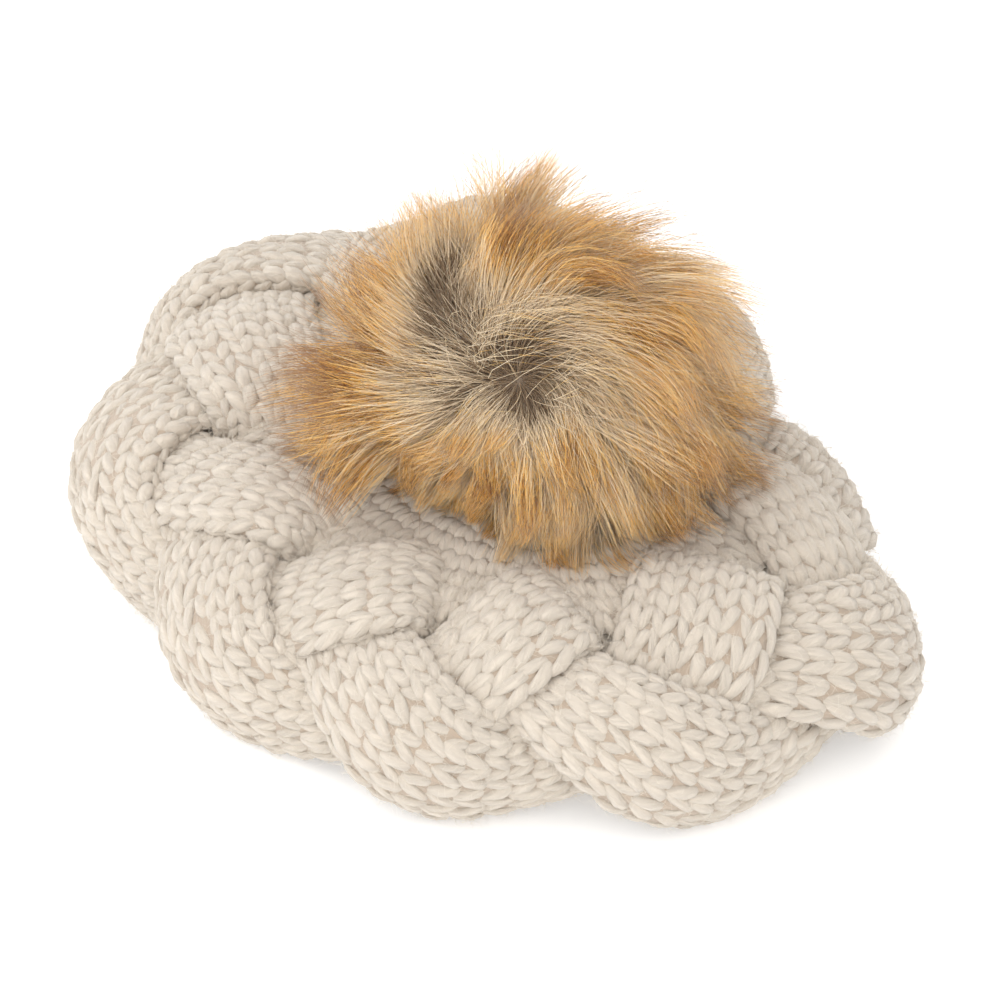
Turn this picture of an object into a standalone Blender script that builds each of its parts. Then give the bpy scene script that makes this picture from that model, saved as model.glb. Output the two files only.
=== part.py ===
"""Pom pom beanie: a slouchy knitted cap lying crown up, with a large fur pom tied to its crown.

Metres, +Z up. The cap rests on the flat underside of its ribbed brim at z = 0, its front towards -Y.
The plan is a circle bent by four harmonics, because the soft cap lies unevenly. Round the side runs
a plait of three knitted strands. The pom turns and tilts on an elastic loop that passes through the
crown's gathered hole and is held inside by a wooden button.
"""

import math

import bpy
import numpy as np

MM = 0.001
TAU = 2.0 * math.pi

# Plan of the cap: radius of the outer rim, and the share of it that each harmonic adds at its angle.
RIM_RADIUS = 121.6 * MM
PLAN_HARMONICS = ((1, 0.117, 135.0), (2, 0.138, -52.0), (3, 0.048, -33.5), (4, 0.032, -27.5))
CENTRE_ZONE = 45.0 * MM  # the harmonics fade out inside this radius, so that the crown's hole is round
CAP_CENTRE = (8.97 * MM, -15.76 * MM)  # where the crown's hole lies, so that the whole is centred on the origin

# The plait: three strands, each a closed loop that weaves three times on its way round the cap.
PLAIT_REPEATS = 3
STRANDS = 3
STRAND_WIDTH = 33.0 * MM
STRAND_THICKNESS = 6.5 * MM
PLAIT_REACH = 28.0 * MM
PLAIT_LIFT = 7.0 * MM
PLAIT_PHASE_AT = -104.0  # degrees: where the first strand dives under the middle of the plait
STRAND_STEPS = 96
STRAND_SIDES = 12

# Middle surface of the plait, from the crown outwards and down: offset from the rim, then height.
PLAIT_PROFILE = (
    (-72.0, 44.5), (-62.0, 46.0), (-42.0, 46.0), (-25.5, 42.5), (-13.5, 33.0),
    (-8.5, 20.5), (-10.5, 8.0), (-18.0, -2.0),
)
PLAIT_MIDDLE = 3  # the knot of the profile that the plait is centred on

# The knitted panels, offset from the rim and height: the wall's outer face, and the brim's closed outline.
WALL_OUTSIDE = (
    (-63.6, 35.4), (-53.0, 35.6), (-43.0, 35.2), (-33.5, 32.2), (-26.5, 27.6), (-23.8, 22.0),
    (-26.0, 15.0), (-32.0, 9.0), (-38.5, 5.5),
)
WALL_THICKNESS = 3.0
BRIM_OUTLINE = (
    (-40.5, 7.6), (-43.5, 5.5), (-48.0, 4.2), (-54.0, 4.0), (-66.0, 4.0), (-68.4, 2.8), (-68.4, 1.2),
    (-66.8, 0.0), (-57.0, 0.0), (-47.0, 0.0), (-42.0, 1.4), (-39.3, 4.8),
)
BRIM_RIBS = 40
RIB_DEPTH = 0.7 * MM
CROWN_WALES = 30
WALE_DEPTH = 0.7 * MM

# Crown panel: distance from its centre and height of its upper face, in mm.
CROWN_TOP = ((9.6, 50.6), (14.0, 51.8), (24.0, 51.6), (36.0, 49.4), (48.0, 45.2), (56.6, 40.4))
CROWN_THICKNESS = 3.6
GATHER_RADIUS = 8.0 * MM
GATHER_HEIGHT = 48.6 * MM
GATHER_YARN_RADIUS = 1.1 * MM

# The seam yarn climbs the inside of the wall at the back.
SEAM_ANGLE = 90.0
SEAM_TURNS = 9
SEAM_COIL_RADIUS = 1.9 * MM
SEAM_YARN_RADIUS = 0.9 * MM
SEAM_CLEARANCE = 3.3

# Pom: a ball of fur fabric on a wadding core, over the crown's hole.
POM_CENTRE_HEIGHT = 83.0 * MM
BACKING_RADIUS = 27.0 * MM
BACKING_THICKNESS = 1.4 * MM
BACKING_OPENING = 24.0  # degrees from straight down to the edge of the gathered opening
CORE_RECESS_RADIUS = 9.0 * MM
CORE_RECESS_TOP = 68.5 * MM
DRAW_RING_RADIUS = 8.6 * MM
DRAW_THREAD_RADIUS = 0.7 * MM
FUR_REACH = 70.0 * MM
FUR_SPREAD = 1.06
FUR_TUFTS = ((9, 5, 0.0), (14, 8, 1.3), (5, 3, 2.1))
FUR_TUFT_DEPTH = 1.5 * MM
FUR_OPENING = 36.0
# The fur's underside, from the neck out: distance from the pom's axis and height. It leaves room to tilt.
FUR_UNDERSIDE = ((29.0, 61.8), (45.0, 68.6), (60.0, 73.2), (67.0, 78.0))
GAP = 0.4 * MM

# What ties the pom on: loop of elastic, bar inside the pom, button inside the cap.
PIVOT_HEIGHT = 61.0 * MM
LOOP_HALF_WIDTH = 2.9 * MM
LOOP_CORD_RADIUS = 1.1 * MM
BAR_RADIUS = 1.35 * MM
BAR_LENGTH = 12.0 * MM
BUTTON_HEIGHT = 42.0 * MM
BUTTON_RADIUS = 10.5 * MM
BUTTON_THICKNESS = 3.2 * MM
BUTTON_HOLE_RADIUS = 1.5 * MM

COLOURS = {
    "cream_wool": (0.74, 0.68, 0.60),
    "rib_wool": (0.72, 0.66, 0.58),
    "wool_yarn": (0.70, 0.63, 0.54),
    "fur_pile": (0.42, 0.33, 0.26),
    "fur_backing": (0.55, 0.48, 0.40),
    "wadding": (0.88, 0.88, 0.86),
    "thread": (0.62, 0.56, 0.48),
    "elastic": (0.80, 0.78, 0.74),
    "button_wood": (0.52, 0.34, 0.18),
    "bar_plastic": (0.82, 0.80, 0.75),
}


def start_scene():
    """Clear the scene and make the two collections."""
    for obj in list(bpy.data.objects):
        bpy.data.objects.remove(obj)
    made = {}
    for name in ("pom_pom_beanie", "cutters"):
        made[name] = bpy.data.collections.new(name)
        bpy.context.scene.collection.children.link(made[name])
    return made["pom_pom_beanie"], made["cutters"]


def material(name):
    """The named material, made on its first use."""
    found = bpy.data.materials.get(name)
    if found:
        return found
    made = bpy.data.materials.new(name)
    made.use_nodes = True
    shader = made.node_tree.nodes["Principled BSDF"]
    shader.inputs["Base Color"].default_value = (*COLOURS[name], 1.0)
    shader.inputs["Roughness"].default_value = 0.9
    made.diffuse_color = (*COLOURS[name], 1.0)
    return made


def outward(vertices, faces):
    """The faces, turned round if they enclose a negative volume."""
    volume = 0.0
    for face in faces:
        a = vertices[face[0]]
        for b, c in zip(face[1:-1], face[2:]):
            volume += np.dot(a, np.cross(vertices[b], vertices[c]))
    return faces if volume > 0 else [face[::-1] for face in faces]


def add_mesh(name, slot, vertices, faces, collection):
    """One named object from points round the cap's centre."""
    mesh = bpy.data.meshes.new(name)
    placed = vertices + np.array([CAP_CENTRE[0], CAP_CENTRE[1], 0.0])
    mesh.from_pydata(placed.tolist(), [], outward(vertices, faces))
    mesh.validate()
    obj = bpy.data.objects.new(name, mesh)
    obj.data.materials.append(material(slot))
    collection.objects.link(obj)
    return obj


def tube_faces(rings, sides, closed=True):
    """Quads of a grid of rings; an open one gets a fan at each end, round the two points after the grid."""
    faces = []
    for i in range(rings if closed else rings - 1):
        for j in range(sides):
            k, after = (j + 1) % sides, (i + 1) % rings
            faces.append((i * sides + j, i * sides + k, after * sides + k, after * sides + j))
    if not closed:
        first, last = rings * sides, rings * sides + 1
        for j in range(sides):
            k = (j + 1) % sides
            faces.append((first, k, j))
            faces.append((last, (rings - 1) * sides + j, (rings - 1) * sides + k))
    return faces


def grid_object(name, slot, grid, collection, closed=True):
    """A closed body from an array of rings, each an array of points."""
    rings, sides = grid.shape[:2]
    points = grid.reshape(-1, 3)
    if not closed:
        points = np.vstack([points, grid[0].mean(axis=0), grid[-1].mean(axis=0)])
    return add_mesh(name, slot, points, tube_faces(rings, sides, closed), collection)


def plan_factor(theta, radius):
    """How far the plan is stretched at this angle; the stretch fades towards the centre."""
    fade = np.clip(radius / CENTRE_ZONE, 0.0, 1.0) ** 2
    stretch = 0.0
    for order, share, angle in PLAN_HARMONICS:
        stretch = stretch + share * np.cos(order * (theta - math.radians(angle)))
    return 1.0 + fade * stretch


def place(theta, radius, height):
    """Point of the cap at an angle, an unstretched radius and a height."""
    reach = radius * plan_factor(theta, radius)
    return np.stack(np.broadcast_arrays(reach * np.cos(theta), reach * np.sin(theta), height), axis=-1)


def smooth_profile(knots, middle, per_span=24):
    """Catmull-Rom curve through the knots: lengths from the middle knot, points, outward normals."""
    points = np.array(knots) * MM
    padded = np.vstack([2 * points[0] - points[1], points, 2 * points[-1] - points[-2]])
    curve = []
    for i in range(len(points) - 1):
        a, b, c, d = padded[i : i + 4]
        for u in np.arange(per_span) / per_span:
            curve.append(
                0.5 * (2 * b + (c - a) * u + (2 * a - 5 * b + 4 * c - d) * u**2
                       + (3 * b - a - 3 * c + d) * u**3)
            )
    curve = np.array([*curve, points[-1]])
    steps = np.linalg.norm(np.diff(curve, axis=0), axis=1)
    length = np.concatenate([[0.0], np.cumsum(steps)])
    tangent = np.gradient(curve, axis=0)
    tangent /= np.linalg.norm(tangent, axis=1)[:, None]
    normal = np.stack([-tangent[:, 1], tangent[:, 0]], axis=1)
    return length[middle * per_span] - length, curve, normal


PLAIT_CURVE = smooth_profile(PLAIT_PROFILE, PLAIT_MIDDLE)


def plait_place(theta, along, lift):
    """Point of the plait: `along` runs up the profile from the plait's middle, `lift` is outwards."""
    lengths, curve, normal = PLAIT_CURVE
    order = slice(None, None, -1)
    radial = np.interp(along, lengths[order], curve[order, 0])
    height = np.interp(along, lengths[order], curve[order, 1])
    out = np.interp(along, lengths[order], normal[order, 0])
    up = np.interp(along, lengths[order], normal[order, 1])
    return RIM_RADIUS + radial + lift * out, height + lift * up


def make_strand(index, collection):
    """One strand of the plait, over its neighbours towards the middle and under them towards the edge."""
    theta = TAU * np.arange(STRAND_STEPS) / STRAND_STEPS
    turn = math.pi - PLAIT_REPEATS * (theta - math.radians(PLAIT_PHASE_AT)) + index * TAU / STRANDS
    along = PLAIT_REACH * np.sin(turn)
    lift = -PLAIT_LIFT * np.sin(2 * turn)
    radius = plait_place(theta, along, 0.0)[0]
    slope = -PLAIT_REPEATS * PLAIT_REACH * np.cos(turn) / radius
    run = 1.0 / np.sqrt(1.0 + slope**2)
    side = TAU * np.arange(STRAND_SIDES) / STRAND_SIDES
    across = 0.5 * STRAND_WIDTH * np.cos(side)[None, :]
    depth = 0.5 * STRAND_THICKNESS * np.sin(side)[None, :]
    at_theta = theta[:, None] - across * (slope * run / radius)[:, None]
    at_along = along[:, None] + across * run[:, None]
    radial, height = plait_place(at_theta, at_along, lift[:, None] + depth)
    grid_object(f"plait_strand_{index + 1}", "cream_wool", place(at_theta, radial, height), collection)


def outline_ring(outline, steps):
    """Grid of a closed outline carried round the cap."""
    theta = TAU * np.arange(steps) / steps
    points = np.array(outline) * MM
    radial = RIM_RADIUS + points[None, :, 0] + np.zeros((steps, 1))
    return place(theta[:, None], radial, np.broadcast_to(points[None, :, 1], radial.shape))


def thick_outline(side, thickness):
    """Closed outline of a bent sheet: the given side, then the same side moved inwards, backwards."""
    points = np.array(side)
    tangent = np.gradient(points, axis=0)
    tangent /= np.linalg.norm(tangent, axis=1)[:, None]
    inward = np.stack([tangent[:, 1], -tangent[:, 0]], axis=1)
    return np.vstack([points, (points + thickness * inward)[::-1]])


def make_wall(collection):
    """The plain knitted ground behind the plait, from the crown's edge round to the brim."""
    grid = outline_ring(thick_outline(WALL_OUTSIDE, WALL_THICKNESS), 52)
    grid_object("side_wall_fabric", "cream_wool", grid, collection)


def make_brim(collection):
    """The ribbed brim, folded in flat under the cap. Its upper side is ribbed and it rests on its underside."""
    theta = TAU * np.arange(2 * BRIM_RIBS) / (2 * BRIM_RIBS)
    points = np.array(BRIM_OUTLINE) * MM
    ridge = np.where(np.arange(2 * BRIM_RIBS) % 2 == 0, 0.0, -RIB_DEPTH)[:, None]
    upper = np.clip((points[:, 1] - 2.0 * MM) / (2.0 * MM), 0.0, 1.0)[None, :]
    inner = np.clip((-points[:, 0] - 40.0 * MM) / (6.0 * MM), 0.0, 1.0)[None, :]
    height = points[None, :, 1] + ridge * upper * inner
    radial = RIM_RADIUS + points[None, :, 0] + 0.0 * ridge
    grid_object("ribbed_brim", "rib_wool", place(theta[:, None], radial, height), collection)


def make_crown(collection):
    """The crown panel: wales that run from its edge to the gathered hole."""
    steps = 2 * CROWN_WALES
    theta = TAU * np.arange(steps) / steps
    top = np.array(CROWN_TOP)
    outline = thick_outline(top, CROWN_THICKNESS) * MM
    ridge = np.where(np.arange(steps) % 2 == 0, 0.0, -WALE_DEPTH)[:, None]
    on_top = (np.arange(len(outline)) < len(top))[None, :]
    height = outline[None, :, 1] + ridge * on_top
    radial = outline[None, :, 0] + 0.0 * ridge
    grid_object("crown_panel", "cream_wool", place(theta[:, None], radial, height), collection)


def round_tube(path, radius, sides, closed=True):
    """Grid of a round cord along a path of points."""
    tangent = (
        np.roll(path, -1, axis=0) - np.roll(path, 1, axis=0) if closed else np.gradient(path, axis=0)
    )
    tangent /= np.linalg.norm(tangent, axis=1)[:, None]
    reference = np.array([0.0, 0.0, 1.0])
    if np.abs(tangent @ reference).max() > 0.95:
        reference = np.array([1.0, 0.0, 0.0])
    first = np.cross(tangent, reference)
    first /= np.linalg.norm(first, axis=1)[:, None]
    second = np.cross(first, tangent)
    angle = TAU * np.arange(sides) / sides
    ring = first[:, None, :] * np.cos(angle)[None, :, None] + second[:, None, :] * np.sin(angle)[None, :, None]
    return path[:, None, :] + radius * ring


def ring_path(radius, height, steps):
    theta = TAU * np.arange(steps) / steps
    return np.stack([radius * np.cos(theta), radius * np.sin(theta), np.full(steps, height)], axis=1)


def make_gather_yarn(collection):
    """The yarn drawn through the crown's last round of stitches."""
    path = ring_path(GATHER_RADIUS, GATHER_HEIGHT, 32)
    grid_object("crown_gather_yarn", "wool_yarn", round_tube(path, GATHER_YARN_RADIUS, 6), collection)


def make_back_seam(collection):
    """Whip stitches up the inside of the wall, joining the two ends of the knitted side."""
    outside = np.array(WALL_OUTSIDE)
    inside = thick_outline(outside, WALL_THICKNESS + SEAM_CLEARANCE)[len(outside) :][::-1][1:-1]
    steps = SEAM_TURNS * 8 + 1
    share = np.linspace(0.0, len(inside) - 1.0, steps)
    radial = RIM_RADIUS + np.interp(share, np.arange(len(inside)), inside[:, 0]) * MM
    height = np.interp(share, np.arange(len(inside)), inside[:, 1]) * MM
    middle = np.stack([radial, height], axis=1)
    tangent = np.gradient(middle, axis=0)
    tangent /= np.linalg.norm(tangent, axis=1)[:, None]
    turn = np.linspace(0.0, SEAM_TURNS * TAU, steps)
    lean = SEAM_COIL_RADIUS * 0.7 * np.cos(turn)
    radial = radial - tangent[:, 1] * lean
    height = height + tangent[:, 0] * lean
    theta = math.radians(SEAM_ANGLE) + SEAM_COIL_RADIUS * 1.6 * np.sin(turn) / radial
    grid = round_tube(place(theta, radial, height), SEAM_YARN_RADIUS, 5, closed=False)
    grid_object("back_seam_yarn", "wool_yarn", grid, collection, closed=False)


def polar(radius, down_angle):
    """Distance from the pom's axis and height of a point on a sphere round the pom's centre."""
    return radius * np.sin(down_angle), POM_CENTRE_HEIGHT - radius * np.cos(down_angle)


def turned(name, slot, outline, steps, collection, reach=None):
    """A body turned round the pom's axis from an outline that starts and ends on it.

    `reach` scales each point's distance from the pom's centre, given the grid of angles and points.
    """
    theta = TAU * np.arange(steps) / steps
    radial = outline[1:-1, 0][:, None]
    grid = np.stack(
        np.broadcast_arrays(radial * np.cos(theta), radial * np.sin(theta), outline[1:-1, 1][:, None]),
        axis=-1,
    )
    points = np.vstack([grid.reshape(-1, 3), [0.0, 0.0, outline[0, 1]], [0.0, 0.0, outline[-1, 1]]])
    if reach is not None:
        points = reach(points)
    add_mesh(name, slot, points, tube_faces(len(outline) - 2, steps, closed=False), collection)


def make_backing(collection):
    """The fur fabric's backing: a ball with a gathered opening underneath."""
    angle = np.linspace(math.pi, math.radians(BACKING_OPENING), 11)
    outer = np.stack(polar(BACKING_RADIUS, angle), axis=1)
    inner = np.stack(polar(BACKING_RADIUS - BACKING_THICKNESS, angle), axis=1)[::-1]
    turned("pom_backing", "fur_backing", np.vstack([outer, inner]), 26, collection)


def make_core(collection):
    """The wadding core, with a recess from below for the loop and its bar."""
    radius = BACKING_RADIUS - BACKING_THICKNESS - GAP
    mouth = math.asin((CORE_RECESS_RADIUS + 1.5 * MM) / radius)
    outer = np.stack(polar(radius, np.linspace(math.pi, mouth, 11)), axis=1)
    recess = np.array(
        [(CORE_RECESS_RADIUS, outer[-1, 1] + 1.5 * MM), (CORE_RECESS_RADIUS, CORE_RECESS_TOP - 1.5 * MM),
         (CORE_RECESS_RADIUS - 2.0 * MM, CORE_RECESS_TOP), (0.0, CORE_RECESS_TOP)]
    )
    turned("pom_wadding_core", "wadding", np.vstack([outer, recess]), 28, collection)


def make_draw_thread(collection):
    """The thread that gathers the backing's opening, just under its edge."""
    height = polar(BACKING_RADIUS, math.radians(BACKING_OPENING))[1] - DRAW_THREAD_RADIUS - GAP
    path = ring_path(DRAW_RING_RADIUS, height, 28)
    grid_object("pom_draw_thread", "thread", round_tube(path, DRAW_THREAD_RADIUS, 6), collection)


def tufted(points):
    """Points of the fur's outer face, moved out or in as the locks of fur lie."""
    centre = np.array([0.0, 0.0, POM_CENTRE_HEIGHT])
    ray = points - centre
    distance = np.linalg.norm(ray, axis=1)
    theta = np.arctan2(ray[:, 1], ray[:, 0])
    rise = np.arcsin(ray[:, 2] / distance)
    swell = np.zeros(len(points))
    for around, up, shift in FUR_TUFTS:
        swell += np.cos(around * theta + shift + 2.0 * rise) * np.cos(up * rise + shift)
    loose = np.clip((distance - 0.75 * FUR_REACH) / (0.2 * FUR_REACH), 0.0, 1.0) * np.cos(rise)
    spread = np.array([FUR_SPREAD, FUR_SPREAD, 1.0])
    ray = ray * (1.0 + loose * swell * FUR_TUFT_DEPTH / distance)[:, None] * spread
    return centre + ray


def make_fur(collection):
    """The fur pile as one soft mass. Its underside rises from the neck, so that the pom can tilt."""
    root_radius = BACKING_RADIUS + GAP
    inner = np.stack(polar(root_radius, np.linspace(math.radians(FUR_OPENING), math.pi, 8)), axis=1)
    lower = np.array(FUR_UNDERSIDE) * MM
    outer = np.stack(polar(FUR_REACH, np.linspace(math.pi, math.radians(88.0), 14)), axis=1)
    turned("pom_fur_pile", "fur_pile", np.vstack([outer, lower[::-1], inner]), 40, collection, tufted)


def make_loop(collection):
    """The elastic loop: round the bar inside the pom, down through the crown, round the button's bridge."""
    turn = np.linspace(0.0, math.pi, 7)
    low = BUTTON_HEIGHT - 0.5 * BUTTON_THICKNESS - LOOP_CORD_RADIUS - GAP
    top = np.stack([0.0 * turn, LOOP_HALF_WIDTH * np.cos(turn), PIVOT_HEIGHT + LOOP_HALF_WIDTH * np.sin(turn)], 1)
    low_y = LOOP_HALF_WIDTH * np.cos(turn)
    bottom = np.stack([0.0 * turn, -low_y, low - 0.6 * LOOP_HALF_WIDTH * np.sin(turn)], 1)
    steps = np.linspace(0.0, 1.0, 8)[1:-1, None]
    path = np.vstack([top, top[-1] + (bottom[0] - top[-1]) * steps, bottom, bottom[-1] + (top[0] - bottom[-1]) * steps])
    grid_object("elastic_loop", "elastic", loop_tube(path), collection)


def loop_tube(path):
    """Grid of the elastic cord along its path, which lies in the plane x = 0."""
    tangent = np.roll(path, -1, axis=0) - np.roll(path, 1, axis=0)
    tangent /= np.linalg.norm(tangent, axis=1)[:, None]
    side = np.array([1.0, 0.0, 0.0])
    across = np.cross(tangent, side)
    angle = TAU * np.arange(8) / 8
    ring = side * np.cos(angle)[None, :, None] + across[:, None, :] * np.sin(angle)[None, :, None]
    return path[:, None, :] + LOOP_CORD_RADIUS * ring


def make_bar(collection):
    """The bar that the loop hangs from, inside the pom."""
    length = np.array([-0.5, -0.46, 0.46, 0.5]) * BAR_LENGTH
    radius = np.array([0.6, 1.0, 1.0, 0.6]) * BAR_RADIUS
    angle = TAU * np.arange(14) / 14
    grid = np.stack(
        np.broadcast_arrays(
            length[:, None], radius[:, None] * np.cos(angle), PIVOT_HEIGHT + radius[:, None] * np.sin(angle)
        ),
        axis=-1,
    )
    grid_object("pom_toggle_bar", "bar_plastic", grid, collection, closed=False)


def make_button(collection, cutters):
    """The wooden button inside the cap, with the loop's two holes."""
    half = 0.5 * BUTTON_THICKNESS
    outline = np.array(
        [(0.0, half - 0.5 * MM), (0.72 * BUTTON_RADIUS, half - 0.5 * MM), (0.78 * BUTTON_RADIUS, half),
         (0.94 * BUTTON_RADIUS, half), (BUTTON_RADIUS, 0.4 * half), (BUTTON_RADIUS, -0.4 * half),
         (0.94 * BUTTON_RADIUS, -half), (0.0, -half)]
    )
    outline[:, 1] += BUTTON_HEIGHT
    turned("inner_button", "button_wood", outline, 28, collection)
    button = bpy.data.objects["inner_button"]
    for sign in (-1, 1):
        bpy.ops.mesh.primitive_cylinder_add(
            vertices=14,
            radius=BUTTON_HOLE_RADIUS,
            depth=4.0 * BUTTON_THICKNESS,
            location=(CAP_CENTRE[0], CAP_CENTRE[1] + sign * LOOP_HALF_WIDTH, BUTTON_HEIGHT),
        )
        cutter = bpy.context.object
        cutter.name = f"button_hole_cutter_{(sign + 3) // 2}"
        for owner in list(cutter.users_collection):
            owner.objects.unlink(cutter)
        cutters.objects.link(cutter)
        cutter.hide_render = True
        cutter.display_type = "WIRE"
        cut = button.modifiers.new(cutter.name, "BOOLEAN")
        cut.operation = "DIFFERENCE"
        cut.solver = "EXACT"
        cut.object = cutter


def build():
    parts, cutters = start_scene()
    for index in range(STRANDS):
        make_strand(index, parts)
    make_wall(parts)
    make_brim(parts)
    make_crown(parts)
    make_gather_yarn(parts)
    make_back_seam(parts)
    make_backing(parts)
    make_core(parts)
    make_draw_thread(parts)
    make_fur(parts)
    make_loop(parts)
    make_bar(parts)
    make_button(parts, cutters)


build()
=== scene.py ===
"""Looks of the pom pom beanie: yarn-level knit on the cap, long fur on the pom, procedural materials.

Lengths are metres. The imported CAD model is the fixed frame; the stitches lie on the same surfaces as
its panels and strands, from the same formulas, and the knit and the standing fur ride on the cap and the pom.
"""

import math

import bpy
import numpy as np
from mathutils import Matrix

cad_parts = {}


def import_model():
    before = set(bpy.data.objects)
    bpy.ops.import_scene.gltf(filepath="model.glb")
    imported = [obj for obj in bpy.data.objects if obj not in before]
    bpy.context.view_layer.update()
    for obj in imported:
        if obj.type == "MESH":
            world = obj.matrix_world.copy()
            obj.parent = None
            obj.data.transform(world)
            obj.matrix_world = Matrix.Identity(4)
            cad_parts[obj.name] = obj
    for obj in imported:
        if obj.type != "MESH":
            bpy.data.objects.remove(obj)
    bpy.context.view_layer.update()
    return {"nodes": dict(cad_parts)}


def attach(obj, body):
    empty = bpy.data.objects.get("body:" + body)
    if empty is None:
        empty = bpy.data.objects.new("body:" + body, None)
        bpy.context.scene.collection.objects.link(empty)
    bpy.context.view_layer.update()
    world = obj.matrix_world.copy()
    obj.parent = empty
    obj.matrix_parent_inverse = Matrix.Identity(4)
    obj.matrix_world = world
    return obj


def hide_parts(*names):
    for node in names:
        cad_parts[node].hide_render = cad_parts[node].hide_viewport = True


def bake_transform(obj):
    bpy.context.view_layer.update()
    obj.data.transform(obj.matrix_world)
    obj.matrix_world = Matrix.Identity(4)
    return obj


MM = 0.001
TAU = 2.0 * math.pi
UP = np.array([0.0, 0.0, 1.0])

# Plan of the cap, as in the CAD model: rim radius, harmonics (order, share, angle in degrees), centre.
RIM_RADIUS = 121.6 * MM
PLAN_HARMONICS = ((1, 0.117, 135.0), (2, 0.138, -52.0), (3, 0.048, -33.5), (4, 0.032, -27.5))
CENTRE_ZONE = 45.0 * MM
CAP_CENTRE = np.array([8.97 * MM, -15.76 * MM, 0.0])

# Plait, as in the CAD model: its profile is offset from the rim and height, in mm.
PLAIT_REPEATS = 3
STRANDS = 3
PLAIT_LIFT = 6.6 * MM
PLAIT_PHASE_AT = -104.0
PLAIT_PROFILE = (
    (-72.0, 44.5), (-62.0, 46.0), (-42.0, 46.0), (-25.5, 42.5), (-13.5, 33.0),
    (-8.5, 20.5), (-10.5, 8.0), (-18.0, -2.0),
)
PLAIT_MIDDLE = 3
SPAN_STEPS = 24

# Plait strands, plumper where they pass over the others.
STRAND_HALF_WIDTH = 17.6 * MM
STRAND_HALF_DEPTH = 3.3 * MM
STRAND_CROWNING = 1.4 * MM
STRAND_WIDENING = 0.05
STRAND_COLUMNS = 7
STRAND_COLUMN = 6.3
STITCHED_REACH = 28.0 * MM
CROWN_OVERRUN = 4.0 * MM

# Panels: offset from the rim (the crown: distance from its centre) and height, in mm.
WALL_OUTSIDE = (
    (-63.6, 35.4), (-53.0, 35.6), (-43.0, 35.2), (-33.5, 32.2), (-26.5, 27.6), (-23.8, 22.0),
    (-26.0, 15.0), (-32.0, 9.0), (-38.5, 5.5),
)
BRIM_OUTLINE = (
    (-40.5, 7.6), (-43.5, 5.5), (-48.0, 4.2), (-54.0, 4.0), (-66.0, 4.0), (-68.4, 2.8), (-68.4, 1.2),
    (-66.8, 0.0), (-57.0, 0.0), (-47.0, 0.0), (-42.0, 1.4), (-39.3, 4.8),
)
CROWN_STITCHED = (
    (76.0, 47.0), (70.0, 49.6), (60.0, 51.0), (48.0, 51.8), (36.0, 52.2), (24.0, 52.4), (14.0, 52.2),
    (9.6, 51.0),
)
WALL_COLUMNS = 96
BRIM_COLUMNS = 80
PANEL_FIRST_ROW = 0.2
# The crown narrows in bands: columns, first row, row after the last.
CROWN_BANDS = ((74, 0, 3), (56, 3, 5), (41, 5, 7), (26, 7, 9), (15, 9, 10))

# Stitches. One leg of a V, from its lower to its upper end: share of a row along the column, share of
# half a column across, rise over the fabric and thickness, both as shares of the yarn's radius.
LEG_SHAPE = np.array([
    (-0.44, 0.10, -0.62, 0.50),
    (-0.14, 0.18, 0.10, 0.86),
    (0.18, 0.36, 0.34, 1.04),
    (0.50, 0.56, 0.36, 1.08),
    (0.80, 0.76, 0.16, 0.96),
    (1.10, 0.86, -0.55, 0.55),
])
LEG_SIDES = 8
YARN_FLATNESS = 0.66
ROW_HEIGHT = 7.2 * MM
STRAND_YARN = 2.08 * MM
PANEL_YARN = 1.90 * MM
BRIM_YARN = 1.1 * MM
BRIM_FLOOR = 0.7 * MM
NORMAL_STEP = 0.4 * MM
# How much the legs differ from each other, as standard deviations of what LEG_SHAPE gives.
LEG_JITTER = {"spread": 0.10, "across": 0.045, "length": 0.07, "along": 0.05, "rise": 0.13, "thickness": 0.10}
YARN_UNEVENNESS = 0.05
KNIT_SEED = 20

# Fabric under the stitches: its lift and its level as shares of the yarn's radius, how far it goes past the
# outer columns, the first row and the last row, and the repeats of the yarn map over it.
GROUND_LIFT = 0.48
# GROUND_LEVEL only sets the ground's colour: painted shade, as dark as the wool down between the stitches.
GROUND_LEVEL = -0.75
GROUND_MARGINS = (0.6, 0.3, 0.7)
GROUND_REPEATS = (8.0, 60.0)

# Maps: how far the fibres wind round a yarn, how far apart two yarns are on the map, and for the bake map
# the clear share at a cell's edges and the share of its width that the yarns take.
FIBRE_WINDING = 0.3
YARN_SPACING = 7.0
BAKE_INSET = 0.06
BAKE_WIDTH = 0.94

# Loose fibres on the yarns: lengths in mm, lean away from the yarn, least level that they grow from.
FUZZ_HAIRS = 16000
FUZZ_RADIUS = 0.07 * MM
FUZZ_TAPER = np.array([1.0, 0.8, 0.3])
FUZZ_LENGTHS = (2.0, 6.0)
FUZZ_LEANS = (0.05, 0.55)
FUZZ_LEVEL = 0.1
FUZZ_SUNK = 0.2 * MM

# Pom: its ball, and the whorl that its fur is combed round.
POM_CENTRE = CAP_CENTRE + np.array([0.0, 0.0, 83.0 * MM])
BALL_RADIUS = 27.4 * MM
WHORL_ELEVATION = math.radians(46.0)
WHORL_ASIDE = math.radians(-4.0)
WHORL_RIGHT = np.array([math.cos(WHORL_ASIDE), math.sin(WHORL_ASIDE), 0.0])
WHORL_FRONT = np.array([math.sin(WHORL_ASIDE), -math.cos(WHORL_ASIDE), 0.0])
WHORL_AXIS = math.cos(WHORL_ELEVATION) * WHORL_FRONT + math.sin(WHORL_ELEVATION) * UP
WHORL_UP = math.cos(WHORL_ELEVATION) * UP - math.sin(WHORL_ELEVATION) * WHORL_FRONT

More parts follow.
